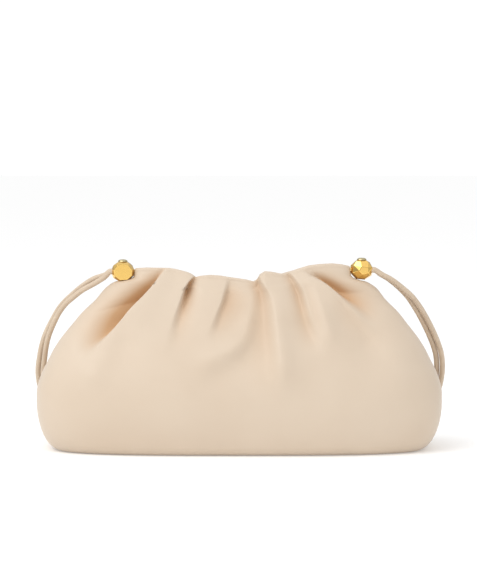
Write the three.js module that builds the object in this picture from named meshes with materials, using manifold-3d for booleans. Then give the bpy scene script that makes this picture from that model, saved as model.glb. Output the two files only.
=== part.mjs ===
// A mini shoulder bag: a hollow leather pouch, gathered along a closed mouth, with a faceted gold bead
// at each end of the mouth and a strap of two round leather strands that passes behind the pouch.
// X runs along the mouth, -Y is the front, Z is up and the base stands on Z = 0. Lengths are in millimetres.
import * as THREE from "three";
import { mergeVertices } from "three/addons/utils/BufferGeometryUtils.js";
import Module from "manifold-3d";

const wasm = await Module();
wasm.setup();

// Pouch
const pouchWidth = 250;
const pouchDepth = 98;
const bellyHeight = 30; // where the pouch is widest
const baseLength = 226; // the flat that it stands on
const baseDepth = 68;
const wallThickness = 2;

// Mouth: two lips with a slit between them
const mouthHeight = 112.8; // crown of the lips at their ends
const mouthLength = 133;
const mouthShift = 1.8; // how far the mouth's middle stands to the right of the pouch's
const mouthGap = 6;
const lipThickness = 4.5;
const lipDepth = 6; // how far down the slit keeps its width
const mouthSag = 8.5; // how far the crown hangs down in the middle
const mouthTilt = 2; // how far the right end stands above the left one
const sagFullness = 2.8; // the higher, the narrower the sag

// Folds that the gathers make
const foldDepth = 9;
const foldWidth = 13;
const notchDepth = 4;

// Hardware
const beadWidth = 13.4;
const beadHeight = 11.2;
const beadThickness = 11;
const beadTilt = 1; // how far the right bead stands above the left one
const beadSides = 8;
const rivetHeadDiameter = 6;
const rivetHeadHeight = 1.8;
const rivetShankDiameter = 1.8;
const rivetShankLength = 2.4;
const pinDiameter = 2.6;
const pinDrop = 3; // how far the pins lie under the crown of the lips
const pinSeat = 2.8; // how deep the pin sits in the lips, and in the bead
const clearance = 0.3;

// Strap
const strandDiameter = 3.4;
const strandSpacing = 3.9; // between the middles of the two strands
const strandSocketDepth = 2.6;
const strandSides = 8;
const stepDiameters = 2.6; // the longest step along a strand, in its diameters

// From the widest level up to the lips. Rise is the share of that height, and length and depth are the shares
// of the difference between the belly and the lips that are left. Square is the exponent of the plan's curve.
const upperSections = [
  { rise: 0.0, length: 1.0, depth: 1.0, square: 3.0 },
  { rise: 0.1, length: 0.995, depth: 0.985, square: 2.95 },
  { rise: 0.22, length: 0.945, depth: 0.94, square: 2.9 },
  { rise: 0.31, length: 0.885, depth: 0.89, square: 2.85 },
  { rise: 0.4, length: 0.825, depth: 0.82, square: 2.8 },
  { rise: 0.49, length: 0.748, depth: 0.735, square: 2.75 },
  { rise: 0.58, length: 0.655, depth: 0.63, square: 2.7 },
  { rise: 0.68, length: 0.548, depth: 0.5, square: 2.6 },
  { rise: 0.77, length: 0.418, depth: 0.36, square: 2.5 },
  { rise: 0.84, length: 0.3, depth: 0.24, square: 2.5 },
  { rise: 0.877, length: 0.215, depth: 0.19, square: 2.6 },
  { rise: 0.897, length: 0.09, depth: 0.165, square: 2.7 },
  { rise: 0.925, length: 0.015, depth: 0.11, square: 3.0 },
  { rise: 1.0, length: 0.0, depth: 0.0, square: 3.4 },
];

// Each row is one valley with a crest beside it. Side is -1 on the front, 1 on the back and 0 at an end.
// Top and foot say where its line starts and ends, as shares of half the pouch's width, and bow how far the line
// bends to the right between them. From and to are the heights of its ends, and peak is the share of its run
// where it is deepest. Depth and crest are shares of foldDepth, wideTop and wideFoot the widths as shares of
// foldWidth, and notch and lift what the crown of the lips loses in the valley and gains on the crest, as shares
// of notchDepth. Crests stand on the valley's left at -1, right at 1.
const folds = [
  { side: -1, top: -0.4, foot: -0.78, bow: 0.05, from: 1.0, to: 0.57, peak: 0.6, depth: 1.0, crest: 0.45, wideTop: 0.4, wideFoot: 0.95, notch: 0.1, lift: 0, crestSide: 1 },
  { side: -1, top: -0.22, foot: -0.32, bow: -0.015, from: 1.0, to: 0.58, peak: 0.3, depth: 0.6, crest: 0.15, wideTop: 0.32, wideFoot: 0.65, notch: 0.3, lift: 0, crestSide: -1 },
  { side: -1, top: 0.0, foot: -0.11, bow: 0.01, from: 0.97, to: 0.6, peak: 0.45, depth: 0.34, crest: 0.1, wideTop: 1.0, wideFoot: 0.5, notch: 0.1, lift: 0, crestSide: -1 },
  { side: -1, top: 0.075, foot: 0.145, bow: 0.0, from: 1.0, to: 0.42, peak: 0.25, depth: 0.55, crest: 0.45, wideTop: 0.36, wideFoot: 1.1, notch: 1.0, lift: 1.1, crestSide: 1 },
  { side: -1, top: 0.235, foot: 0.36, bow: 0.0, from: 0.97, to: 0.56, peak: 0.4, depth: 0.55, crest: 0.3, wideTop: 0.3, wideFoot: 0.55, notch: 0.15, lift: 0, crestSide: 1 },
  { side: -1, top: 0.33, foot: 0.76, bow: 0.02, from: 0.98, to: 0.66, peak: 0.5, depth: 0.95, crest: 0.4, wideTop: 0.5, wideFoot: 1.1, notch: 0, lift: 0.1, crestSide: -1 },
  { side: -1, top: -0.5, foot: -0.6, bow: 0, from: 0.7, to: 0.3, peak: 0.5, depth: 0.2, crest: 0.1, wideTop: 0.9, wideFoot: 1.2, notch: 0, lift: 0, crestSide: -1 },
  { side: -1, top: 0.56, foot: 0.72, bow: 0, from: 0.68, to: 0.38, peak: 0.5, depth: 0.18, crest: 0.1, wideTop: 0.9, wideFoot: 1.2, notch: 0, lift: 0, crestSide: 1 },
  { side: 1, top: -0.38, foot: -0.76, bow: 0.04, from: 1.0, to: 0.55, peak: 0.6, depth: 0.7, crest: 0.35, wideTop: 0.6, wideFoot: 1.15, notch: 0.1, lift: 0, crestSide: 1 },
  { side: 1, top: -0.2, foot: -0.28, bow: 0, from: 1.0, to: 0.5, peak: 0.35, depth: 0.5, crest: 0.2, wideTop: 0.55, wideFoot: 0.9, notch: 0.2, lift: 0.1, crestSide: -1 },
  { side: 1, top: 0.01, foot: 0.05, bow: 0, from: 1.0, to: 0.44, peak: 0.35, depth: 0.5, crest: 0.3, wideTop: 0.55, wideFoot: 1.05, notch: 0.4, lift: 0.3, crestSide: -1 },
  { side: 1, top: 0.2, foot: 0.32, bow: 0, from: 1.0, to: 0.52, peak: 0.38, depth: 0.48, crest: 0.2, wideTop: 0.55, wideFoot: 0.8, notch: 0.2, lift: 0, crestSide: 1 },
  { side: 1, top: 0.37, foot: 0.76, bow: -0.04, from: 1.0, to: 0.55, peak: 0.6, depth: 0.7, crest: 0.35, wideTop: 0.6, wideFoot: 1.15, notch: 0.1, lift: 0, crestSide: -1 },
  { side: 0, top: -1, foot: -1, bow: 0, from: 0.92, to: 0.4, peak: 0.4, depth: 0.5, crest: 0, wideTop: 0.4, wideFoot: 0.9, notch: 0, lift: 0, crestSide: 0 },
  { side: 0, top: 1, foot: 1, bow: 0, from: 0.92, to: 0.4, peak: 0.4, depth: 0.5, crest: 0, wideTop: 0.4, wideFoot: 0.9, notch: 0, lift: 0, crestSide: 0 },
];
const lipShare = 0.25; // what is left of a fold's depth on the lips
const slitMargin = 1.6; // how far a valley stays off the slit, in wall thicknesses
const crestOffset = 1.15; // the crest's distance from the valley's line, in widths
const crestSpread = 0.75;
const steepFactor = 1.5; // how much narrower a valley is towards its crest
const endFoldStart = 0.62; // an end fold reaches in to this share of half the length

// Where the strap's two strands lie together, from the left bead to the right one. Along is a share of half the
// pouch's width, back of half its depth and up of the mouth's height. Turn is how far the pair is twisted, from
// side by side across the strap's bend at 0 to one behind the other at 90. The points are chosen by eye.
const strapRoute = [
  { along: -0.66, back: 0.012, up: 0.93, turn: 80 },
  { along: -0.715, back: 0.03, up: 0.9, turn: 48 },
  { along: -0.775, back: 0.06, up: 0.86, turn: 60 },
  { along: -0.82, back: 0.085, up: 0.82, turn: 66 },
  { along: -0.862, back: 0.115, up: 0.778, turn: 70 },
  { along: -0.895, back: 0.15, up: 0.732, turn: 68 },
  { along: -0.928, back: 0.19, up: 0.665, turn: 63 },
  { along: -0.957, back: 0.235, up: 0.595, turn: 52 },
  { along: -0.975, back: 0.29, up: 0.528, turn: 40 },
  { along: -0.987, back: 0.35, up: 0.459, turn: 30 },
  { along: -0.996, back: 0.42, up: 0.39, turn: 28 },
  { along: -0.994, back: 0.5, up: 0.315, turn: 36 },
  { along: -0.975, back: 0.61, up: 0.222, turn: 52 },
  { along: -0.935, back: 0.75, up: 0.13, turn: 68 },
  { along: -0.87, back: 0.92, up: 0.065, turn: 80 },
  { along: -0.785, back: 1.08, up: 0.018, turn: 88 },
  { along: -0.68, back: 1.22, up: 0.003, turn: 90 },
  { along: -0.53, back: 1.35, up: 0.0, turn: 90 },
  { along: -0.35, back: 1.44, up: 0.0, turn: 90 },
  { along: -0.14, back: 1.48, up: 0.0, turn: 90 },
  { along: 0.08, back: 1.48, up: 0.0, turn: 90 },
  { along: 0.3, back: 1.44, up: 0.0, turn: 90 },
  { along: 0.49, back: 1.36, up: 0.0, turn: 90 },
  { along: 0.65, back: 1.24, up: 0.003, turn: 90 },
  { along: 0.77, back: 1.1, up: 0.016, turn: 92 },
  { along: 0.862, back: 0.94, up: 0.06, turn: 98 },
  { along: 0.932, back: 0.77, up: 0.125, turn: 108 },
  { along: 0.977, back: 0.63, up: 0.219, turn: 124 },
  { along: 0.999, back: 0.51, up: 0.32, turn: 142 },
  { along: 1.004, back: 0.42, up: 0.404, turn: 150 },
  { along: 0.996, back: 0.34, up: 0.484, turn: 150 },
  { along: 0.977, back: 0.28, up: 0.549, turn: 146 },
  { along: 0.951, back: 0.23, up: 0.615, turn: 144 },
  { along: 0.919, back: 0.185, up: 0.684, turn: 140 },
  { along: 0.884, back: 0.145, up: 0.75, turn: 134 },
  { along: 0.845, back: 0.11, up: 0.81, turn: 122 },
  { along: 0.797, back: 0.075, up: 0.862, turn: 108 },
  { along: 0.745, back: 0.04, up: 0.908, turn: 100 },
  { along: 0.698, back: 0.015, up: 0.938, turn: 94 },
];

// How finely the pouch is cut into faces
const frontColumns = 62;
const backColumns = 38;
const columnCrowding = 1.4; // how much closer the columns stand on a fold
const crowdedReach = 7;
const turnRings = 4; // between the base and the belly
const ringGap = 0.095; // rows of the section table that stand further apart get a ring between them
const lipRings = 4;
const innerRingStep = 2;

const leather = new THREE.MeshStandardMaterial({ color: 0xe6d3bd, roughness: 0.5, metalness: 0 });
const strapLeather = new THREE.MeshStandardMaterial({ color: 0xe0c9ae, roughness: 0.5, metalness: 0 });
const gold = new THREE.MeshStandardMaterial({ color: 0xd9ab4e, roughness: 0.18, metalness: 1 });

const { lerp, clamp, degToRad, smoothstep } = THREE.MathUtils;

// A level of the pouch, given in plan by its middle and by half its length and depth.
function baseSection(turn) {
  const out = Math.sin((turn * Math.PI) / 2);
  return {
    middle: 0,
    halfLength: lerp(baseLength, pouchWidth, out) / 2,
    halfDepth: lerp(baseDepth, pouchDepth, out) / 2,
    height: bellyHeight * (1 - Math.cos((turn * Math.PI) / 2)),
    square: upperSections[0].square,
    foldShare: 1,
  };
}

// The row of a table at a share of its first column's range, with a smooth curve through every other column.
function rowAt(table, share) {
  const keys = Object.keys(table[0]);
  const first = keys[0];
  let i = table.findIndex((row) => row[first] > share) - 1;
  if (i < 0) i = table.length - 2;
  const [before, low, high, after] = [-1, 0, 1, 2].map((k) => table[clamp(i + k, 0, table.length - 1)]);
  const span = high[first] - low[first];
  const t = (share - low[first]) / span;
  const slope = (a, b, key) => (b[first] === a[first] ? 0 : (b[key] - a[key]) / (b[first] - a[first]));
  const result = { [first]: share };
  for (const key of keys.slice(1)) {
    const slopeLow = slope(before, high, key) * span;
    const slopeHigh = slope(low, after, key) * span;
    const t2 = t * t;
    const t3 = t2 * t;
    result[key] =
      (2 * t3 - 3 * t2 + 1) * low[key] +
      (t3 - 2 * t2 + t) * slopeLow +
      (3 * t2 - 2 * t3) * high[key] +
      (t3 - t2) * slopeHigh;
  }
  return result;
}

function upperSection(rise) {
  const row = rowAt(upperSections, rise);
  const lipOuter = mouthGap / 2 + lipThickness;
  return {
    middle: mouthShift * (1 - row.length) ** 3,
    halfLength: lerp(mouthLength, pouchWidth, row.length) / 2,
    halfDepth: lerp(lipOuter, pouchDepth / 2, row.depth),
    height: lerp(bellyHeight, mouthHeight - lipThickness / 2, rise),
    square: row.square,
    foldShare: 1,
  };
}

// Round the crown of the lips, from their outer face at share 0 to the slit at share 1.
function lipSection(share) {
  const turn = share * Math.PI;
  const half = lipThickness / 2;
  return {
    middle: mouthShift,
    halfLength: mouthLength / 2 - half + half * Math.cos(turn),
    halfDepth: mouthGap / 2 + half + half * Math.cos(turn),
    height: mouthHeight - half + half * Math.sin(turn),
    square: upperSections.at(-1).square,
    foldShare: (1 + Math.cos(turn)) / 2,
  };
}

// The fold's strength at a share of its run: partly there on the lips, full at its peak and gone at its foot.
function strengthAlong(fold, run) {
  if (run >= 1) return 0;
  if (run <= fold.peak) return lerp(fold.from < 0.9 ? 0 : lipShare, 1, smoothstep(run, 0, fold.peak));
  return 1 - smoothstep(run, fold.peak, 1);
}

function foldLine(fold, run) {
  return (lerp(fold.top, fold.foot, run) + fold.bow * 4 * run * (1 - run)) * (pouchWidth / 2);
}

// How far the folds move a point outwards, and how far they lift the crown there.
function foldOffsets(side, x, y, height, across) {
  let outwards = 0;
  let lift = 0;
  for (const fold of folds) {
    if (fold.side !== 0 && fold.side !== side) continue;
    const run = clamp((fold.from - height / mouthHeight) / (fold.from - fold.to), 0, 1);
    const width = foldWidth * lerp(fold.wideTop, fold.wideFoot, run);
    const fromLine = (fold.side === 0 ? y : x - foldLine(fold, run)) / width;
    const nearEnd = fold.side === 0 ? smoothstep(across * fold.top, endFoldStart, 1) : 1;
    const towardsCrest = fromLine * fold.crestSide > 0 ? steepFactor : 1;
    const valley = Math.exp(-((fromLine * towardsCrest) ** 2));
    const crest = Math.exp(-(((fromLine * fold.crestSide - crestOffset) / crestSpread) ** 2));
    const free = fold.side === 0 ? foldDepth : Math.abs(y) - mouthGap / 2 - slitMargin * wallThickness;
    const depth = foldDepth * strengthAlong(fold, run) * nearEnd;
    outwards += depth * fold.crest * crest - Math.min(depth * fold.depth, Math.max(free, 0)) * valley;
    lift += notchDepth * (1 - smoothstep(run, 0, fold.peak)) * (fold.lift * crest - fold.notch * valley);
  }
  return { outwards, lift };
}

// The point of a section at a share of half its length, from -1 at the left end to 1 at the right one.
function pouchPoint(section, across, side) {
  const { middle, halfLength, halfDepth, height, square, foldShare } = section;
  const room = Math.max(0, 1 - Math.abs(across) ** square);
  const x = middle + across * halfLength;
  const y = side * halfDepth * room ** (1 / square);
  const out = new THREE.Vector2(
    (Math.sign(across) * Math.abs(across) ** (square - 1)) / halfLength,
    (side * room ** ((square - 1) / square)) / halfDepth,
  ).normalize();
  const { outwards, lift } = foldOffsets(side, x, y, height, across);
  const crown = (mouthTilt / 2) * across - mouthSag * (1 - across ** 2) ** sagFullness + lift;
  const hang = (height / mouthHeight) ** 3;
  return new THREE.Vector3(
    x + out.x * outwards * foldShare,
    y + out.y * outwards * foldShare,
    height + crown * hang,
  );
}

// Where the columns stand along one side, as shares of half the length: evenly round the belly's curve, and
// closer together on the folds.
function columnShares(side, count) {
  const { square, halfLength, halfDepth } = upperSection(0);
  const samples = 2000;
  const shares = [];
  const reached = [0];
  for (let i = 0; i <= samples; i++) {
    const turn = (i / samples) * Math.PI;
    shares.push(-Math.sign(Math.cos(turn)) * Math.abs(Math.cos(turn)) ** (2 / square));
    if (i === 0) continue;
    const [a, b] = [shares[i - 1], shares[i]];
    const depthAt = (share) => halfDepth * Math.max(0, 1 - Math.abs(share) ** square) ** (1 / square);
    const length = Math.hypot((b - a) * halfLength, depthAt(b) - depthAt(a));
    let crowd = 1;
    for (const fold of folds) {
      if (fold.side !== side) continue;
      const line = foldLine(fold, fold.peak) / halfLength;
      crowd += columnCrowding * fold.depth * Math.exp(-((((b - line) * halfLength) / crowdedReach) ** 2));
    }
    reached.push(reached.at(-1) + length * crowd);
  }
  return Array.from({ length: count + 1 }, (_, k) => {
    const goal = (reached.at(-1) * k) / count;
    const i = Math.max(1, reached.findIndex((r) => r >= goal - 1e-9));
    const t = (goal - reached[i - 1]) / (reached[i] - reached[i - 1] || 1);
    return lerp(shares[i - 1], shares[i], clamp(t, 0, 1));
  });
}

const frontShares = columnShares(-1, frontColumns);
const backShares = columnShares(1, backColumns);

// One closed ring of points: along the front from left to right, and back again along the back.
function ringOf(section) {
  const front = frontShares.slice(0, -1).map((across) => pouchPoint(section, across, -1));
  const back = backShares.slice(1).reverse().map((across) => pouchPoint(section, across, 1));
  return [...front, ...back];
}

// The inner side of a folded ring, a wall's thickness in from it. The way in is square to the pouch as it would be
// without folds, so that neighbouring fold walls never meet.
function innerRingOf(folded, plainRings, index) {
  const plain = plainRings[index];
  const count = plain.length;
  return folded.map((point, i) => {
    const along = new THREE.Vector3().subVectors(plain[(i + 1) % count], plain[(i + count - 1) % count]);
    const up = new THREE.Vector3().subVectors(plainRings[index + 1][i], plainRings[index - 1][i]);
    return point.clone().addScaledVector(along.cross(up).normalize(), -wallThickness);
  });
}

// A closed skin over a run of rings, with a middle point at each end.
function skinOver(rings, firstMiddle, lastMiddle) {
  const count = rings[0].length;
  const first = rings.length * count;
  const top = first - count;
  const faces = [];
  for (let i = 0; i < count; i++) {
    const next = (i + 1) % count;
    faces.push(first, next, i, first + 1, top + i, top + next);
    for (let low = 0; low < top; low += count) {
      const high = low + count;
      faces.push(low + i, low + next, high + next, low + i, high + next, high + i);
    }
  }
  const geometry = new THREE.BufferGeometry().setFromPoints([...rings.flat(), firstMiddle, lastMiddle]);
  geometry.setIndex(faces);
  return geometry;
}

function pouchGeometry() {
  const rises = upperSections.slice(0, -1).flatMap(({ rise }, i) => {
    const next = upperSections[i + 1].rise;
    return next - rise > ringGap ? [rise, (rise + next) / 2] : [rise];
  });
  const sections = [];
  for (let i = 0; i < turnRings; i++) sections.push(baseSection(i / turnRings));
  for (const rise of rises) sections.push(upperSection(rise));
  const outer = sections.map(ringOf);
  const plain = [...sections, lipSection(0)].map((section) => ringOf({ ...section, foldShare: 0 }));
  const lips = [];
  for (let i = 0; i <= lipRings; i++) lips.push(ringOf(lipSection(i / lipRings)));
  const slitDrop = lipDepth - lipThickness / 2;
  const slitFoot = lips.at(-1).map((point) => point.clone().setZ(point.z - slitDrop));
  const inner = [];
  const highest = mouthHeight - lipDepth - wallThickness;
  for (let i = outer.length - 1; i > 0; i -= innerRingStep) {
    if (sections[i].height < highest) inner.push(innerRingOf(outer[i], plain, i));
  }
  inner.push(outer[0].map((point) => point.clone().setZ(wallThickness)));
  const rings = [...outer, ...lips, slitFoot, ...inner];
  return skinOver(rings, new THREE.Vector3(0, 0, 0), new THREE.Vector3(0, 0, wallThickness));
}

// Solids are joined and cut as manifolds, and come back as plain geometry.
function solidFrom(geometry) {
  const bare = geometry.clone();
  bare.deleteAttribute("normal");
  bare.deleteAttribute("uv");
  const merged = mergeVertices(bare, 1e-4);
  const mesh = new wasm.Mesh({
    numProp: 3,
    vertProperties: merged.attributes.position.array,
    triVerts: new Uint32Array(merged.index.array),
  });
  return new wasm.Manifold(mesh);
}

function geometryFrom(solid) {
  const mesh = solid.getMesh();
  const geometry = new THREE.BufferGeometry();
  geometry.setAttribute("position", new THREE.BufferAttribute(mesh.vertProperties, 3));
  geometry.setIndex(new THREE.BufferAttribute(mesh.triVerts, 1));
  geometry.computeVertexNormals();
  return geometry;
}

// A rod along X between two places.
function rodBetween(x1, x2, y, z, diameter) {
  const rod = new THREE.CylinderGeometry(diameter / 2, diameter / 2, Math.abs(x2 - x1), 24);
  return rod.rotateZ(Math.PI / 2).translate((x1 + x2) / 2, y, z);
}

const ends = { left: -1, right: 1 };
const lipEnd = (end) => mouthShift + (end * mouthLength) / 2;
const pinHeight = (end) => mouthHeight - pinDrop + (end * beadTilt) / 2;
const beadMiddle = (end) => new THREE.Vector3(lipEnd(end) + end * (clearance + beadWidth / 2), 0, pinHeight(end));

function pinGeometry(end) {
  const middle = beadMiddle(end);
  const inner = lipEnd(end) - end * pinSeat;
  const outer = middle.x - end * (beadWidth / 2 - pinSeat);
  return rodBetween(inner, outer, 0, middle.z, pinDiameter);
}

// A nugget: facets run round the pin's line and narrow towards both ends.
function nuggetGeometry() {
  const profile = [
    { reach: -1, girth: 0.5 },
    { reach: -0.78, girth: 0.8 },
    { reach: -0.42, girth: 1 },
    { reach: 0.42, girth: 1 },
    { reach: 0.78, girth: 0.8 },
    { reach: 1, girth: 0.5 },
  ];
  const flat = Math.cos(Math.PI / beadSides);
  const rings = profile.map(({ reach, girth }) =>
    Array.from({ length: beadSides }, (_, j) => {
      const turn = ((j + 0.5) / beadSides) * 2 * Math.PI;
      const [y, z] = [(Math.cos(turn) * beadThickness) / 2, (Math.sin(turn) * beadHeight) / 2];
      return new THREE.Vector3((reach * beadWidth) / 2, (y * girth) / flat, (z * girth) / flat);
    }),
  );
  return skinOver(rings, new THREE.Vector3(-beadWidth / 2, 0, 0), new THREE.Vector3(beadWidth / 2, 0, 0));
}

function beadGeometry(end) {
  const middle = beadMiddle(end);
  const face = middle.x - end * (beadWidth / 2);
  const back = middle.x + end * (beadWidth / 2);
  const nugget = solidFrom(nuggetGeometry().translate(middle.x, middle.y, middle.z));
  const pinHole = rodBetween(face - end, face + end * (pinSeat + clearance), 0, middle.z, pinDiameter + 2 * clearance);
  const sockets = [-1, 1].map((k) => {
    const width = strandDiameter + 2 * clearance;
    return rodBetween(back + end, back - end * (strandSocketDepth + clearance), (k * strandSpacing) / 2, middle.z, width);
  });
  const shankDepth = rivetShankLength + clearance;
  const shankHole = new THREE.CylinderGeometry(rivetShankDiameter / 2 + clearance, rivetShankDiameter / 2 + clearance, shankDepth + 1, 24)
    .rotateX(Math.PI / 2)
    .translate(middle.x, 0, middle.z + beadHeight / 2 + (1 - shankDepth) / 2);
  return geometryFrom([pinHole, ...sockets, shankHole].reduce((body, hole) => body.subtract(solidFrom(hole)), nugget));
}

function rivetGeometry(end) {
  const middle = beadMiddle(end);
  const head = rivetHeadDiameter / 2;
  const profile = [
    [0, -rivetShankLength],
    [rivetShankDiameter / 2, -rivetShankLength],
    [rivetShankDiameter / 2, 0],
    [head * 0.86, 0],
    [head, rivetHeadHeight * 0.25],
    [head * 0.9, rivetHeadHeight * 0.62],
    [head * 0.6, rivetHeadHeight * 0.9],
    [0, rivetHeadHeight],
  ].map(([r, z]) => new THREE.Vector2(r, z));
  const lathe = new THREE.LatheGeometry(profile, 20).rotateX(Math.PI / 2);
  return lathe.translate(middle.x, 0, middle.z + beadHeight / 2 + clearance / 3);
}

// The two directions square to a strand's course: one in the plane of the strap's bend, and one towards the back.
function crossAxes(course) {
  const over = new THREE.Vector3(0, 1, 0).cross(course).normalize();
  return { over, behind: course.clone().cross(over) };
}

// The points that a strand passes, on the first or the second side of the pair.
function strandPoints(side) {
  const floor = strandDiameter / 2 + clearance / 3;
  const middles = strapRoute.map(
    ({ along, back, up }) =>
      new THREE.Vector3((along * pouchWidth) / 2, (back * pouchDepth) / 2, floor + up * mouthHeight),
  );
  const turns = strapRoute.map(({ turn }) => degToRad(turn));
  const leadIn = [-strandSocketDepth, -strandSocketDepth / 2, 0, strandSocketDepth / 2];
  for (const [i, out] of leadIn.entries()) {
    for (const end of [-1, 1]) {
      const place = beadMiddle(end).add(new THREE.Vector3(end * (beadWidth / 2 + out), 0, 0));
      const at = end < 0 ? i : middles.length - i;
      middles.splice(at, 0, place);
      turns.splice(at, 0, Math.PI / 2);
    }
  }
  return middles.map((middle, i) => {
    const before = middles[Math.max(i - 1, 0)];
    const after = middles[Math.min(i + 1, middles.length - 1)];
    const inBead = i < leadIn.length || i >= middles.length - leadIn.length;
    const course = inBead ? new THREE.Vector3(-1, 0, 0) : after.clone().sub(before).normalize();
    const { over, behind } = crossAxes(course);
    const offset = over.multiplyScalar(Math.cos(turns[i])).add(behind.multiplyScalar(Math.sin(turns[i])));
    return middle.clone().addScaledVector(offset, (side * strandSpacing) / 2);
  });
}

function strandGeometry(side) {
  const points = strandPoints(side);
  const curve = new THREE.CatmullRomCurve3(points, false, "centripetal");
  const spans = points.length - 1;
  const stops = points.slice(0, -1).flatMap((point, i) => {
    const steps = Math.ceil(point.distanceTo(points[i + 1]) / (stepDiameters * strandDiameter));
    return Array.from({ length: steps }, (_, k) => (i + k / steps) / spans);
  });
  const middles = [...stops, 1].map((stop) => curve.getPoint(stop));
  const rings = [...stops, 1].map((stop, i) => {
    const middle = middles[i];
    const { over, behind } = crossAxes(curve.getTangent(stop));
    return Array.from({ length: strandSides }, (_, j) => {
      const turn = (j / strandSides) * 2 * Math.PI;
      return middle
        .clone()
        .addScaledVector(over, (Math.cos(turn) * strandDiameter) / 2)
        .addScaledVector(behind, (Math.sin(turn) * strandDiameter) / 2);
    });
  });
  return skinOver(rings, middles[0], middles.at(-1));
}

function namedMesh(name, geometry, material) {
  const mesh = new THREE.Mesh(geometry, material);
  mesh.name = name;
  return mesh;
}

const bag = new THREE.Group();
bag.name = "mini_shoulder_bag";

let pouch = solidFrom(pouchGeometry());
for (const end of Object.values(ends)) {
  const seat = lipEnd(end) - end * (pinSeat + clearance);
  const hole = rodBetween(seat, lipEnd(end) + 2 * end, 0, pinHeight(end), pinDiameter + 2 * clearance);
  pouch = pouch.subtract(solidFrom(hole));
}
bag.add(namedMesh("pouch", geometryFrom(pouch), leather));

for (const [name, end] of Object.entries(ends)) {
  bag.add(namedMesh(`bead_${name}`, beadGeometry(end), gold));
  bag.add(namedMesh(`rivet_${name}`, rivetGeometry(end), gold));
  bag.add(namedMesh(`pin_${name}`, pinGeometry(end), gold));
}

bag.add(namedMesh("strap_strand_1", strandGeometry(1), strapLeather));
bag.add(namedMesh("strap_strand_2", strandGeometry(-1), strapLeather));

export default bag;
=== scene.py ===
import math
import bmesh
import bpy
import numpy as np
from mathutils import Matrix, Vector


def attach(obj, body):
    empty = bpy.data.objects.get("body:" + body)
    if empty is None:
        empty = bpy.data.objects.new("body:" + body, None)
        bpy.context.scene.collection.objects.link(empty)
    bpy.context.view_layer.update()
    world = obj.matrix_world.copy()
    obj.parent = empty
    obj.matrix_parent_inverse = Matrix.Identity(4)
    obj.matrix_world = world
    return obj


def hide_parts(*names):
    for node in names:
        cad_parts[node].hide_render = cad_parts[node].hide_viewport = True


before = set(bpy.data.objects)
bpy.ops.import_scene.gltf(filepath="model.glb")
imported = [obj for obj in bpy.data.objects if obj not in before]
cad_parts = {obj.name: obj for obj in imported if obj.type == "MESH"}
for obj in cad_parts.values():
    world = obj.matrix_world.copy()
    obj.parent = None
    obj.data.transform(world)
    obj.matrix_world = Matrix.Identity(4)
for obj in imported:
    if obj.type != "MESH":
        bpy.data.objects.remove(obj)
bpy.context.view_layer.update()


# The camera isn't part of the bag. A long lens looks at it from straight ahead, 1.4 m away and 4 degrees
# above its middle, which gives the flat front view of a shop picture.
aim = Vector((-0.0005, 0.0, 0.1003))
rise = math.radians(4.0)
distance = 1.4
camera_data = bpy.data.cameras.new("camera")
camera_data.lens = 143.0
camera_data.sensor_width = 36.0
camera_data.clip_end = 20.0
camera = bpy.data.objects.new("camera", camera_data)
camera.location = aim + Vector((0.0, -math.cos(rise), math.sin(rise))) * distance
camera.rotation_euler = (aim - camera.location).to_track_quat("-Z", "Y").to_euler()
bpy.context.scene.collection.objects.link(camera)
bpy.context.scene.camera = camera


# The strap: two round strands of rolled nappa, 3.4 mm thick, glued side by side into each bead. They
# leave the beads level, bow out and down past the pouch's ends, and lie together on the floor behind it.
mm = 0.001
pouch_width = 250 * mm
pouch_depth = 98 * mm
mouth_height = 112.8 * mm
mouth_shift = 1.8 * mm
lip_reach = 66.5 * mm
bead_width = 13.4 * mm
bead_clearance = 0.3 * mm
bead_drop = 3 * mm
bead_tilt = 0.5 * mm
socket_depth = 2.6 * mm
strand_width = 3.4 * mm
strand_spacing = 3.9 * mm
strand_sides = 22
floor_clearance = 0.1 * mm
route_step = 1.6 * mm
# The pair's middle line from the left bead to the right one: x in half widths of the pouch, y in half
# depths and z in mouth heights, and how far the pair is turned about its line, in degrees
strap_route = np.array([
    (-0.66, 0.012, 0.93, 80), (-0.715, 0.03, 0.9, 48), (-0.775, 0.06, 0.86, 60), (-0.82, 0.085, 0.82, 66),
    (-0.862, 0.115, 0.778, 70), (-0.895, 0.15, 0.732, 68), (-0.928, 0.19, 0.665, 63),
    (-0.957, 0.235, 0.595, 52), (-0.975, 0.29, 0.528, 40), (-0.987, 0.35, 0.459, 30),
    (-0.996, 0.42, 0.39, 28), (-0.994, 0.5, 0.315, 36), (-0.975, 0.61, 0.222, 52),
    (-0.935, 0.75, 0.13, 68), (-0.87, 0.92, 0.065, 80), (-0.785, 1.08, 0.018, 88),
    (-0.68, 1.22, 0.003, 90), (-0.53, 1.35, 0.0, 90), (-0.35, 1.44, 0.0, 90), (-0.14, 1.48, 0.0, 90),
    (0.08, 1.48, 0.0, 90), (0.3, 1.44, 0.0, 90), (0.49, 1.36, 0.0, 90), (0.65, 1.24, 0.003, 90),
    (0.77, 1.1, 0.016, 92), (0.862, 0.94, 0.06, 98), (0.932, 0.77, 0.125, 108), (0.977, 0.63, 0.219, 124),
    (0.999, 0.51, 0.32, 142), (1.004, 0.42, 0.404, 150), (0.996, 0.34, 0.484, 150),
    (0.977, 0.28, 0.549, 146), (0.951, 0.23, 0.615, 144), (0.919, 0.185, 0.684, 140),
    (0.884, 0.145, 0.75, 134), (0.845, 0.11, 0.81, 122), (0.797, 0.075, 0.862, 108),
    (0.745, 0.04, 0.908, 100), (0.698, 0.015, 0.938, 94)])


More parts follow.
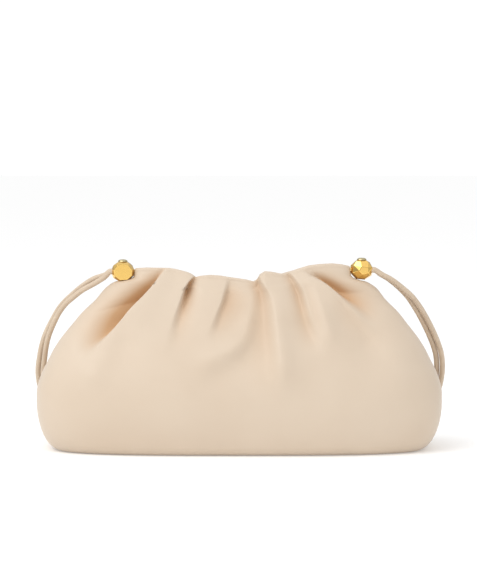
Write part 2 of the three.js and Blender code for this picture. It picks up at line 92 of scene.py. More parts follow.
# The middle of the bead at one end of the mouth, -1 for the left one and 1 for the right one
def bead_middle(end):
    reach = mouth_shift + end * (lip_reach + bead_clearance + bead_width / 2)
    return np.array([reach, 0.0, mouth_height - bead_drop + end * bead_tilt])


# The points of one strand, on one side of the pair's middle line, with four level ones at each bead's
# socket
def strand_points(side):
    lying_height = strand_width / 2 + floor_clearance
    middles = strap_route[:, :3] * (pouch_width / 2, pouch_depth / 2, mouth_height) + (0, 0, lying_height)
    lead = np.array([-socket_depth, -socket_depth / 2, 0.0, socket_depth / 2])
    starts, finishes = [
        [bead_middle(end) + (end * (bead_width / 2 + out), 0, 0) for out in lead] for end in (-1, 1)]
    middles = np.array(starts + list(middles) + finishes[::-1])
    level = np.full(len(lead), math.pi / 2)
    turns = np.concatenate([level, np.radians(strap_route[:, 3]), level])
    course = np.empty_like(middles)
    course[1:-1] = middles[2:] - middles[:-2]
    course[:len(lead)] = (-1, 0, 0)
    course[-len(lead):] = (-1, 0, 0)
    course /= np.linalg.norm(course, axis=1)[:, None]
    over = np.cross((0.0, 1.0, 0.0), course)
    over /= np.linalg.norm(over, axis=1)[:, None]
    behind = np.cross(course, over)
    offset = over * np.cos(turns)[:, None] + behind * np.sin(turns)[:, None]
    return middles + offset * side * strand_spacing / 2


# The point at t on the way from p at start to q at stop
def between(p, q, start, stop, t):
    return p * (stop - t) / (stop - start) + q * (t - start) / (stop - start)


# A smooth line through all the points, whose bends are spread by the square root of each stretch's length
def smooth_path(points, gap):
    path = []
    padded = np.vstack([2 * points[0] - points[1], points, 2 * points[-1] - points[-2]])
    for corners in zip(padded, padded[1:], padded[2:], padded[3:]):
        stretches = [math.sqrt(np.linalg.norm(q - p)) for p, q in zip(corners, corners[1:])]
        knots = np.cumsum([0.0] + stretches)
        steps = max(1, int(math.ceil(np.linalg.norm(corners[2] - corners[1]) / gap)))
        for k in range(steps):
            t = knots[1] + (knots[2] - knots[1]) * k / steps
            low = [between(corners[i], corners[i + 1], knots[i], knots[i + 1], t) for i in range(3)]
            mid = [between(low[i], low[i + 1], knots[i], knots[i + 2], t) for i in range(2)]
            path.append(between(mid[0], mid[1], knots[1], knots[2], t))
    return np.array(path + [points[-1]])


# A new node of a tree, at a place on its sheet
def node(tree, kind, at=(0, 0), **settings):
    made = tree.nodes.new(kind)
    made.location = at
    for name, value in settings.items():
        setattr(made, name, value)
    return made


def new_material(name):
    material = bpy.data.materials.new(name)
    material.use_nodes = True
    return material, material.node_tree, material.node_tree.nodes["Principled BSDF"]


# Nappa seen close: fine pores, slow clouds in the dye and a soft waxy shine. Where the mesh's tuck
# attribute is set, the dye is multiplied by a warm dark tone, a painted shade in the creases, because
# little light comes out of a crease.
def nappa(name, light, dark, pore_size, cloud_size, shine, painted_crease_shade=None):
    material, tree, shader = new_material(name)
    place = node(tree, "ShaderNodeTexCoord", (-1300, 0))
    clouds = node(tree, "ShaderNodeTexNoise", (-1000, 200))
    clouds.inputs["Scale"].default_value = 1 / cloud_size
    clouds.inputs["Detail"].default_value = 3.0
    dye = node(tree, "ShaderNodeValToRGB", (-700, 200))
    dye.color_ramp.elements[0].position = 0.3
    dye.color_ramp.elements[0].color = (*dark, 1)
    dye.color_ramp.elements[1].position = 0.72
    dye.color_ramp.elements[1].color = (*light, 1)
    pores = node(tree, "ShaderNodeTexVoronoi", (-1000, -200), feature="SMOOTH_F1")
    pores.inputs["Scale"].default_value = 1 / pore_size
    pores.inputs["Smoothness"].default_value = 0.6
    pores.inputs["Randomness"].default_value = 1.0
    crease_size = pore_size * 5
    creases = node(tree, "ShaderNodeTexNoise", (-1000, -480))
    creases.inputs["Scale"].default_value = 1 / crease_size
    creases.inputs["Detail"].default_value = 6.0
    creases.inputs["Roughness"].default_value = 0.62
    relief = node(tree, "ShaderNodeMath", (-700, -300), operation="MULTIPLY_ADD")
    relief.inputs[1].default_value = 0.55
    bump = node(tree, "ShaderNodeBump", (-450, -300))
    bump.inputs["Strength"].default_value = 0.22
    bump.inputs["Distance"].default_value = 0.12 * mm
    gloss = node(tree, "ShaderNodeMapRange", (-450, 0))
    gloss.inputs["To Min"].default_value = shine - 0.05
    gloss.inputs["To Max"].default_value = shine + 0.06
    for texture in (clouds, pores, creases):
        tree.links.new(place.outputs["Object"], texture.inputs["Vector"])
    tree.links.new(clouds.outputs["Fac"], dye.inputs["Fac"])
    # The tuck attribute weights a painted crease shade: a warm dark tone multiplied into the dye
    if painted_crease_shade:
        depth = node(tree, "ShaderNodeAttribute", (-700, 480), attribute_name="tuck")
        painted_shade_mix = node(tree, "ShaderNodeMix", (-350, 300), data_type="RGBA", blend_type="MULTIPLY")
        painted_shade_mix.inputs["B"].default_value = (*painted_crease_shade, 1)
        tree.links.new(depth.outputs["Fac"], painted_shade_mix.inputs["Factor"])
        tree.links.new(dye.outputs["Color"], painted_shade_mix.inputs["A"])
        tree.links.new(painted_shade_mix.outputs["Result"], shader.inputs["Base Color"])
    else:
        tree.links.new(dye.outputs["Color"], shader.inputs["Base Color"])
    tree.links.new(pores.outputs["Distance"], relief.inputs[0])
    tree.links.new(creases.outputs["Fac"], relief.inputs[2])
    tree.links.new(relief.outputs["Value"], bump.inputs["Height"])
    tree.links.new(bump.outputs["Normal"], shader.inputs["Normal"])
    tree.links.new(creases.outputs["Fac"], gloss.inputs["Value"])
    tree.links.new(gloss.outputs["Result"], shader.inputs["Roughness"])
    shader.inputs["Specular IOR Level"].default_value = 0.42
    shader.inputs["Sheen Weight"].default_value = 0.22
    shader.inputs["Sheen Roughness"].default_value = 0.5
    return material


strap_leather = nappa("strap_nappa", light=(0.64, 0.52, 0.39), dark=(0.58, 0.455, 0.335),
                      pore_size=0.6 * mm, cloud_size=9 * mm, shine=0.46)


def new_object(name, mesh, material):
    mesh.materials.clear()
    mesh.materials.append(material)
    thing = bpy.data.objects.new(name, mesh)
    bpy.context.scene.collection.objects.link(thing)
    return thing


# The tree that rolls a strand along its route: a round section swept along the line, capped at both ends.
rolling = bpy.data.node_groups.new("rolled_strand", "GeometryNodeTree")
rolling.interface.new_socket("Geometry", in_out="INPUT", socket_type="NodeSocketGeometry")
strand_radius_input = rolling.interface.new_socket("Radius", in_out="INPUT", socket_type="NodeSocketFloat")
strand_sides_input = rolling.interface.new_socket("Sides", in_out="INPUT", socket_type="NodeSocketInt")
strand_skin_input = rolling.interface.new_socket(
    "Leather", in_out="INPUT", socket_type="NodeSocketMaterial")
rolling.interface.new_socket("Geometry", in_out="OUTPUT", socket_type="NodeSocketGeometry")
route_in = node(rolling, "NodeGroupInput", (-800, 0))
section = node(rolling, "GeometryNodeCurvePrimitiveCircle", (-500, -200), mode="RADIUS")
line = node(rolling, "GeometryNodeMeshToCurve", (-500, 100))
sweep = node(rolling, "GeometryNodeCurveToMesh", (-200, 0))
sweep.inputs["Fill Caps"].default_value = True
rounded = node(rolling, "GeometryNodeSetShadeSmooth", (0, 0))
whole = node(rolling, "GeometryNodeRealizeInstances", (200, 0))
skin = node(rolling, "GeometryNodeSetMaterial", (400, 0))
made = node(rolling, "NodeGroupOutput", (600, 0))
rolling.links.new(route_in.outputs["Geometry"], line.inputs["Mesh"])
rolling.links.new(route_in.outputs["Radius"], section.inputs["Radius"])
rolling.links.new(route_in.outputs["Sides"], section.inputs["Resolution"])
rolling.links.new(line.outputs["Curve"], sweep.inputs["Curve"])
rolling.links.new(section.outputs["Curve"], sweep.inputs["Profile Curve"])
rolling.links.new(sweep.outputs["Mesh"], rounded.inputs["Geometry"])
rolling.links.new(rounded.outputs["Geometry"], whole.inputs["Geometry"])
rolling.links.new(whole.outputs["Geometry"], skin.inputs["Geometry"])
rolling.links.new(route_in.outputs["Leather"], skin.inputs["Material"])
rolling.links.new(skin.outputs["Geometry"], made.inputs["Geometry"])


# The evaluated object as a plain mesh, with the object and its source taken away
def plain_mesh(thing, name):
    for modifier in thing.modifiers:
        modifier.show_viewport = True
    bpy.context.view_layer.update()
    graph = bpy.context.evaluated_depsgraph_get()
    mesh = bpy.data.meshes.new_from_object(thing.evaluated_get(graph))
    mesh.name = name
    source = thing.data
    bpy.data.objects.remove(thing)
    if isinstance(source, bpy.types.Mesh):
        bpy.data.meshes.remove(source)
    return mesh


for name, side in (("strap_strand_1", 1), ("strap_strand_2", -1)):
    path = smooth_path(strand_points(side), route_step)
    line_mesh = bpy.data.meshes.new(name + "_route")
    line_mesh.from_pydata([tuple(p) for p in path], [(i, i + 1) for i in range(len(path) - 1)], [])
    route = bpy.data.objects.new(name + "_route", line_mesh)
    bpy.context.scene.collection.objects.link(route)
    roll = route.modifiers.new("roll", "NODES")
    roll.node_group = rolling
    roll[strand_radius_input.identifier] = strand_width / 2
    roll[strand_sides_input.identifier] = strand_sides
    roll[strand_skin_input.identifier] = strap_leather
    strand = new_object(name + "_rolled", plain_mesh(route, name), strap_leather)
    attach(strand, "root")
    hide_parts(name)


# The pouch: one skin of soft nappa, 2 mm thick, cut wide and gathered into the two lips of the mouth, so
# that it puffs out below them in deep pleats. It rests on a flat base, and a bead is pinned to each end
# of its lips.
wall = 2 * mm
belly_height = 30 * mm
base_length = 220 * mm
base_depth = 66 * mm
base_squareness = 3.0
mouth_length = 133 * mm
mouth_gap = 6 * mm
mouth_sag = 8.5 * mm
mouth_tilt = 2 * mm
sag_fullness = 2.8
lip_thickness = 4.5 * mm
lip_depth = 6 * mm
lip_squareness = 3.4
lip_end_taper = 0.6
# Keeps a division away from zero
tiny = 1e-9
# Rise from the belly to the lips, then the length, depth and squareness of the plan at that rise
upper_sections = np.array([
    (0.0, 1.0, 1.0, 3.0), (0.1, 0.995, 0.985, 2.95), (0.22, 0.945, 0.94, 2.9), (0.31, 0.885, 0.89, 2.85),
    (0.4, 0.825, 0.82, 2.8), (0.49, 0.748, 0.735, 2.75), (0.58, 0.655, 0.63, 2.7),
    (0.68, 0.548, 0.5, 2.6), (0.77, 0.416, 0.36, 2.5), (0.84, 0.318, 0.25, 2.5), (0.88, 0.238, 0.19, 2.6),
    (0.902, 0.175, 0.158, 2.7), (0.912, 0.11, 0.145, 2.8), (0.93, 0.04, 0.118, 3.0),
    (0.952, 0.01, 0.075, 3.2), (1.0, 0.0, 0.0, 3.4)])


# The row of that table at any rise, on a smooth curve through its rows
def row_at(share):
    table = upper_sections
    i = int(np.clip(np.searchsorted(table[:, 0], share, side="right") - 1, 0, len(table) - 2))
    before, low, high, after = (table[int(np.clip(i + k, 0, len(table) - 1))] for k in (-1, 0, 1, 2))
    span = high[0] - low[0]
    t = (share - low[0]) / span
    slope_low = (high - before) / max(high[0] - before[0], tiny) * span
    slope_high = (after - low) / max(after[0] - low[0], tiny) * span
    return ((2 * t ** 3 - 3 * t ** 2 + 1) * low + (t ** 3 - 2 * t ** 2 + t) * slope_low
            + (3 * t ** 2 - 2 * t ** 3) * high + (t ** 3 - t ** 2) * slope_high)


# Each level of the pouch gives its middle, half length, half depth, height and squareness, and how far
# the folds act on it. The turn runs from 0 at the floor to 1 at the belly.
def base_level(turn):
    out = math.sin(turn * math.pi / 2)
    return (0.0, (base_length + (pouch_width - base_length) * out) / 2,
            (base_depth + (pouch_depth - base_depth) * out) / 2,
            belly_height * (1 - math.cos(turn * math.pi / 2)), base_squareness, 1.0)


def upper_level(share):
    _, length, depth, square = row_at(share)
    lip = mouth_gap / 2 + lip_thickness
    return (mouth_shift * (1 - length) ** 3, (mouth_length + (pouch_width - mouth_length) * length) / 2,
            lip + (pouch_depth / 2 - lip) * depth,
            belly_height + (mouth_height - lip_thickness / 2 - belly_height) * share, square, 1.0)


# The lips are half rounds, from their outer face over the crown into the slit, where the folds fade out
def lip_level(share):
    turn, half = share * math.pi, lip_thickness / 2
    return (mouth_shift, mouth_length / 2 - lip_end_taper * half * (1 - math.cos(turn)),
            mouth_gap / 2 + half + half * math.cos(turn), mouth_height - half + half * math.sin(turn),
            lip_squareness, (1 + math.cos(turn)) / 2)


# Each pleat is a crease that the gathers throw, with a leaf of leather on one side that laps over a long
# slope on the other. A row gives a point of its line in x and z as seen from its side, then how deep the
# crease is, how wide its slope, how high the leaf swells, how wide the leaf's roll and its body are, and
# how far it laps. All are in mm.
front_pleats = [
    ("right", [(-45.0, 112.6, 1.0, 3, 0.2, 1.8, 5, 0.3), (-49.4, 107.4, 5.0, 5, 1.8, 2.0, 8, 0.9),
               (-56.4, 97.4, 10.5, 8, 3.0, 2.2, 13, 2.2), (-65.8, 88.2, 12.0, 9, 3.4, 2.4, 16, 2.8),
               (-73.2, 81.8, 11.5, 10, 2.8, 2.8, 16, 2.4), (-80.6, 76.4, 9.8, 10, 2.0, 3.6, 15, 1.6),
               (-88.0, 71.0, 5.8, 10, 1.0, 5.0, 13, 0.8), (-98.0, 63.5, 0.0, 11, 0.0, 7.0, 12, 0.0)]),
    ("left", [(-25.0, 107.6, 0.6, 2.4, 0.8, 1.4, 4, 0.4), (-27.4, 106.3, 5.0, 2.6, 1.6, 1.5, 5, 0.9),
              (-30.6, 103.4, 7.6, 3.6, 1.8, 1.8, 6, 1.0), (-32.4, 99.8, 8.2, 4.4, 1.4, 2.0, 6, 1.0),
              (-33.5, 94.4, 6.8, 5.4, 0.8, 2.6, 6, 0.6), (-35.0, 87.0, 4.8, 6.0, 0.5, 3.6, 7, 0.2),
              (-36.8, 79.0, 2.6, 7, 0.4, 5.0, 7, 0.0), (-38.0, 64.0, 0.0, 9, 0.0, 8, 7, 0.0)]),
    ("left", [(-4.6, 104.0, 0.0, 10, 0.2, 4.0, 5, 0.0), (-6.2, 98.0, 3.8, 13, 0.8, 3.8, 7, 0.4),
              (-8.6, 90.0, 4.6, 12, 0.9, 3.8, 8, 0.4), (-11.8, 81.0, 3.0, 9, 0.6, 4.6, 8, 0.0),
              (-15.0, 71.0, 0.0, 6, 0.0, 6.0, 7, 0.0)]),
    ("right", [(9.8, 107.0, 2.0, 3, 2.6, 2.6, 8, 0.3), (11.2, 102.0, 4.6, 4.4, 3.6, 3.8, 9, 0.3),
               (13.0, 95.0, 4.0, 6.0, 2.8, 7.0, 9, 0.0), (14.0, 86.0, 3.4, 8, 2.2, 8.6, 10, 0.0),
               (14.6, 72.0, 2.8, 11, 1.6, 10.0, 11, 0.0), (15.6, 58.0, 1.8, 14, 1.0, 12.0, 12, 0.0),
               (17.6, 38.0, 0.0, 17, 0.0, 10.0, 14, 0.0)]),
    ("right", [(27.8, 110.0, 0.8, 2.4, 0.6, 1.4, 4, 0.3), (31.0, 105.4, 3.0, 3, 1.2, 3.2, 5, 0.2),
               (35.2, 97.6, 4.2, 4, 1.1, 4.6, 6, 0.0), (38.0, 87.0, 4.0, 5, 1.0, 5.2, 6, 0.0),
               (41.6, 76.4, 2.8, 6, 0.8, 6.0, 7, 0.0), (47.0, 64.0, 0.0, 8, 0.0, 7.0, 8, 0.0)]),
    ("right", [(38.0, 104.0, 0.0, 2, 0.2, 2.0, 6, 0.0), (41.4, 98.6, 1.2, 3, 0.8, 5.5, 7, 0.0),
               (44.2, 88.6, 1.5, 3.4, 1.0, 6.5, 8, 0.0), (47.2, 79.4, 1.0, 4, 0.8, 7.0, 8, 0.0),
               (51.0, 69.0, 0.0, 5, 0.0, 6.0, 8, 0.0)]),
    ("left", [(41.0, 109.8, 0.2, 3, 0.4, 1.8, 5, 0.2), (45.0, 107.4, 2.4, 3.4, 1.4, 1.7, 6, 0.6),
              (50.4, 104.8, 6.8, 4.4, 2.2, 1.8, 7, 1.1), (56.2, 100.8, 9.0, 5.4, 2.2, 2.2, 8, 1.4),
              (62.4, 96.8, 9.0, 6.2, 1.8, 3.2, 9, 1.0), (68.0, 93.4, 7.6, 7.4, 1.2, 4.4, 9, 0.4),
              (74.5, 90.0, 5.2, 8, 0.6, 6, 9, 0.0), (85.0, 82.6, 0.0, 10, 0.0, 8, 10, 0.0)]),
    ("right", [(56.0, 96.0, 0.0, 4, 0.0, 3.0, 7, 0.0), (61.0, 91.4, 1.4, 5, 0.8, 6.0, 8, 0.0),
               (67.7, 83.6, 1.7, 7, 0.9, 7.0, 9, 0.0), (74.0, 76.0, 1.2, 9, 0.7, 8.0, 10, 0.0),
               (87.0, 60.0, 0.0, 12, 0.0, 9.0, 12, 0.0)]),
]
back_pleats = [
    ("right", [(-46, 113, 1.0, 3, 0.2, 1.6, 5, 0.4), (-50, 108, 3.4, 4, 1.4, 1.6, 7, 1.2),
               (-61, 95, 6.8, 9, 2.4, 2.0, 11, 2.4), (-72, 84, 5.4, 12, 1.6, 3.0, 12, 1.2),
               (-90, 68, 0, 13, 0, 6, 12, 0)]),
    ("left", [(-23, 109, 1.0, 3, 1.0, 1.4, 5, 0.6), (-26, 103, 4.6, 4, 1.6, 1.6, 6, 1.2),
              (-30, 92, 5.0, 6, 1.2, 2.6, 7, 0.6), (-35, 78, 2.6, 8, 0.5, 5, 8, 0),
              (-38, 60, 0, 10, 0, 7, 8, 0)]),
    ("right", [(0, 108, 1.2, 4, 1.2, 1.6, 6, 0.6), (2, 101, 4.4, 5, 2.4, 1.8, 8, 1.2),
               (4, 88, 4.6, 8, 2.2, 2.4, 9, 0.8), (6, 72, 3.0, 11, 1.2, 4, 10, 0.2),
               (7, 50, 0, 14, 0, 7, 12, 0)]),
    ("right", [(21, 110, 1.0, 3, 0.6, 1.4, 5, 0.4), (25, 102, 4.2, 4, 1.6, 1.6, 6, 1.0),
               (31, 90, 4.6, 5, 1.6, 2.2, 7, 0.8), (37, 76, 2.4, 7, 0.8, 4, 8, 0),
               (41, 60, 0, 9, 0, 7, 9, 0)]),
    ("left", [(46, 113, 1.0, 3, 0.2, 1.6, 5, 0.4), (51, 107.6, 3.4, 5, 1.4, 1.6, 7, 1.2),
              (62, 97, 6.4, 9, 2.0, 2.0, 10, 2.0), (74, 87, 5.0, 12, 1.4, 3, 12, 1.0),
              (93, 71, 0, 13, 0, 6, 12, 0)]),
]
# Long soft swells between the pleats: points in x and z, how high they stand and how wide they are, in mm
front_swells = [
    [(10.0, 100, 0.8, 3), (7.0, 87, 2.0, 4.4), (2.1, 73, 3.4, 5.6), (-5, 66.5, 3.6, 6.4),
     (-17, 60.5, 2.6, 7), (-29, 54, 0, 9)],
    [(8, 66, 0, 7), (2, 57, -1.6, 8), (-12, 50, -1.6, 9), (-28, 44, 0, 10)],
    [(21.5, 92, 1.2, 5.6), (23.5, 74, 3.2, 7), (25, 56, 3.6, 8.5), (26, 34, 0, 12)],
    [(35, 107, 0.6, 4), (46.5, 92, 2.2, 5), (54, 76, 3.2, 7), (57, 60, 0, 10)],
    [(-62, 84, 0.4, 9), (-69, 68, -2.2, 10), (-72, 46, 0, 13)],
    [(-82, 66, 0, 9), (-91, 51, 2.8, 10), (-93, 34, 0, 13)],
    [(70, 82, 0, 8), (80, 70, -2.2, 10), (86, 48, 0, 12)],
    [(84, 78, 0, 9), (93, 62, 2.4, 10), (98, 46, 1.8, 11), (100, 28, 0, 13)],
]
back_swells = [
    [(-14, 92, 0, 8), (-16, 76, 1.8, 11), (-18, 52, 0, 14)],
    [(18, 84, 0, 7), (22, 68, 1.4, 10), (25, 48, 0, 13)],
    [(-80, 70, 0, 10), (-88, 52, 1.6, 13), (-90, 34, 0, 14)],
]
# A line is drawn in short steps, and a point follows the stretch of it that lies within this reach
line_step = 1.1 * mm
line_reach = 2.2 * mm
# Past its ends a pleat fades out over this length, and a swell over a longer one
pleat_end = 3 * mm
swell_end = 5 * mm
# How full a crease's slope is, how far the lap reaches into the leaf's body, and the least widths of the
# two kinds
slope_fullness = 1.5
lapped_body = 0.8
least_width = 0.5 * mm
least_swell = 1 * mm
# A crease goes no deeper than the free room behind it and this much more
crease_spare = 0.5 * mm
# The depth at which a crease has its full painted shade
full_painted_shade_depth = 7.5 * mm
painted_shade_fullness = 1.4


# Two soft steps: a bell that falls from 1, and an ease from 0 to 1
def bell(share):
    return np.exp(-share * share)


def ease(share):
    share = np.clip(share, 0, 1)
    return share * share * (3 - 2 * share)


# For points at x and z: the values of a line's rows beside each, how far the points lie from it, to its
# right as it goes down, how far past its ends, and the way square to it
def beside(rows, x, z):
    rows = np.array(rows, float) * mm
    line = smooth_path(np.insert(rows[:, :2], 1, 0, axis=1), line_step)[:, (0, 2)]
    marks = [np.hypot(*(line - row[:2]).T).argmin() for row in rows]
    values = np.stack([np.interp(np.arange(len(line)), marks, column) for column in rows[:, 2:].T], axis=1)
    course = np.gradient(line, axis=0)
    course /= np.linalg.norm(course, axis=1)[:, None]
    gap = (x[:, None] - line[:, 0]) ** 2 + (z[:, None] - line[:, 1]) ** 2
    nearness = np.exp(-(gap - gap.min(axis=1)[:, None]) / (2 * line_reach ** 2))
    nearness /= nearness.sum(axis=1)[:, None]
    away = np.stack([x, z], axis=1) - nearness @ line
    way = nearness @ course
    way /= np.linalg.norm(way, axis=1)[:, None]
    square = np.stack([-way[:, 1], way[:, 0]], axis=1)
    return (nearness @ values).T, (away * square).sum(1), np.abs((away * way).sum(1)), square


# How far the pleats move points that lie at x and z: outwards, and sideways in x and z. Also how much
# painted shade each point gets from the depth of the crease it lies in.
def pleated(pleats, swells, x, z, free):
    out, push, painted_crease_shade = np.zeros_like(x), np.zeros((len(x), 2)), np.zeros_like(x)
    room = np.maximum(free, 0) + crease_spare
    for leaf, rows in pleats:
        (deep, slope, swell, roll, body, lap), offset, past, square = beside(rows, x, z)
        facing = 1 if leaf == "right" else -1
        from_crease = offset * facing
        slope, roll, body = (np.maximum(width, least_width) for width in (slope, roll, body))
        end = bell(past / pleat_end)
        turn = ease(from_crease / roll)
        past_roll = np.maximum(from_crease - roll, 0)
        slope_side = np.exp(-np.abs(from_crease / slope) ** slope_fullness)
        crease = np.where(from_crease < 0, slope_side, 1 - turn) * end
        out += swell * turn * bell(past_roll / body) * end - np.minimum(deep, room) * crease
        slide = -lap * turn * bell(past_roll / (body * lapped_body)) * end * facing
        push += slide[:, None] * square
        # Painted shade: the deeper the crease, the darker the tone painted there
        painted_crease_shade = np.maximum(painted_crease_shade, (deep * crease / full_painted_shade_depth) ** painted_shade_fullness)
    for rows in swells:
        (high, wide), offset, past, _ = beside(rows, x, z)
        out += high * bell(offset / np.maximum(wide, least_swell)) * bell(past / swell_end)
    return out, push, painted_crease_shade


# The height of the lips' crown at places along the front and the back, in mm
front_crown = np.array([
    (-67, 110.6), (-64, 111.6), (-58, 112.0), (-44, 111.8), (-40, 111.2), (-36.5, 110.4), (-32, 109.3),
    (-29.4, 108.0), (-27.4, 106.2), (-24.5, 107.0), (-18, 107.6), (-12, 107.2), (-6, 106.2), (0, 105.4),
    (5, 104.6), (9.4, 103.4), (11.2, 105.2), (13, 108.2), (16, 109.9), (20, 109.6), (25, 108.6),
    (28.2, 108.1), (31.2, 109.6), (37.3, 111.6), (43.5, 113.4), (50, 114.2), (58, 114.6), (64, 114.0),
    (69, 112.8)])
back_crown = np.array([
    (-67, 110.4), (-60, 111.4), (-45, 111.0), (-36, 109.4), (-28, 105.6), (-20, 106.4), (-10, 106.0),
    (0, 104.0), (8, 102.6), (16, 106.0), (26, 107.6), (37, 110.6), (50, 113.2), (60, 113.8), (69, 112.4)])
# Where the crown's line begins to be followed, as a share of the mouth's height
neck_start = 0.86
# The left shoulder stands a little higher than the right one
shoulder_start = 0.75
shoulder_lift = 1.5 * mm
shoulder_height = 102.5 * mm
shoulder_spread = 4 * mm
# The gathers pull in the pouch's ends between its belly and its neck
end_tuck = 4.5 * mm
end_tuck_start = 0.62
end_tuck_width = 5 * mm
end_tuck_heights = [0.4, 0.7, 0.88]
end_tuck_strengths = [0, 1, 0]
# What the skin and its inner wall need between a crease and the slit
fold_room = 1.6 * wall


# One ring of points round the pouch, with its folds or plain, and the painted crease shade at each point
def ring_of(level, shares, sides, plain=False):
    middle, half_length, half_depth, height, square, fold_share = level
    room = np.maximum(0, 1 - np.abs(shares) ** square)
    x = middle + shares * half_length
    y = sides * half_depth * room ** (1 / square)
    nx = np.sign(shares) * np.abs(shares) ** (square - 1) / half_length
    ny = sides * room ** ((square - 1) / square) / half_depth
    size = np.hypot(nx, ny)
    nx, ny = nx / size, ny / size
    along_lips = mouth_shift + shares * mouth_length / 2
    front_top, back_top = (np.interp(along_lips / mm, *crown.T) * mm for crown in (front_crown, back_crown))
    even_top = mouth_height + mouth_tilt / 2 * shares - mouth_sag * (1 - shares ** 2) ** sag_fullness
    closeness = np.clip((height / mouth_height - neck_start) / (1 - neck_start), 0, 1)
    top = even_top + (np.where(sides < 0, front_top, back_top) - even_top) * ease(closeness)
    z = height + (top - mouth_height) * (height / mouth_height) ** 3
    left_shoulder = ease((-shares - shoulder_start) / (1 - shoulder_start))
    z += shoulder_lift * left_shoulder * bell((height - shoulder_height) / shoulder_spread)
    out, push, painted_crease_shade = np.zeros_like(x), np.zeros((len(x), 2)), np.zeros_like(x)
    if not plain and fold_share > 0:
        free = np.abs(y) - mouth_gap / 2 - fold_room
        for side, pleats, swells in ((-1, front_pleats, front_swells), (1, back_pleats, back_swells)):
            on = sides == side
            out[on], push[on], painted_crease_shade[on] = pleated(pleats, swells, x[on], z[on], free[on])
        tuck = end_tuck * np.exp(-(y / end_tuck_width) ** 2)
        strength = np.interp(height / mouth_height, end_tuck_heights, end_tuck_strengths)
        nearness = np.clip((np.abs(shares) - end_tuck_start) / (1 - end_tuck_start), 0, 1)
        out -= tuck * strength * nearness ** 2
        out, push = out * fold_share, push * fold_share
    return np.stack([x + nx * out + push[:, 0], y + ny * out, z + push[:, 1]], axis=1), painted_crease_shade


# Shares of the half length that lie at even steps round one side of the pouch
def even_shares(count, square=2.9, fine_steps=4000):
    turn = np.linspace(0, math.pi, fine_steps + 1)
    shares = -np.sign(np.cos(turn)) * np.abs(np.cos(turn)) ** (2 / square)
    depth = pouch_depth / 2 * np.maximum(0, 1 - np.abs(shares) ** square) ** (1 / square)
    run = np.concatenate([[0], np.cumsum(np.hypot(np.diff(shares) * pouch_width / 2, np.diff(depth)))])
    return np.interp(np.linspace(0, run[-1], count + 1), run, shares)


front_count = 360
back_count = 170
base_rows = 12
belly_rows = 16
pleat_rows = 92
lip_rows = 13
belly_share = 0.36
front_shares, back_shares = even_shares(front_count), even_shares(back_count)
shares = np.concatenate([front_shares[:-1], back_shares[1:][::-1]])
sides = np.concatenate([-np.ones(front_count), np.ones(back_count)])
levels = [base_level(t) for t in np.linspace(0, 1, base_rows, endpoint=False)]
levels += [upper_level(s) for s in np.linspace(0, belly_share, belly_rows, endpoint=False)]
levels += [upper_level(s) for s in np.linspace(belly_share, 1, pleat_rows, endpoint=False)]
lips = [lip_level(s) for s in np.linspace(0, 1, lip_rows)]
outer, painted_crease_shades = zip(*[ring_of(level, shares, sides) for level in levels + lips])
outer, painted_crease_shades = list(outer), list(painted_crease_shades)

# How the leather settles: it is held at the foot and along the neck, let go over the two fades between
# them, and moved by a few millimetres at most, and by less at its ends
foot_held = 0.5 * mm
foot_fade = 14 * mm
neck_held = 109 * mm
neck_fade = 34 * mm
settle_frames = 22
settle_smoothing = 24
settle_most = 2.4 * mm
ends_held = 0.9
ends_held_from = 0.75


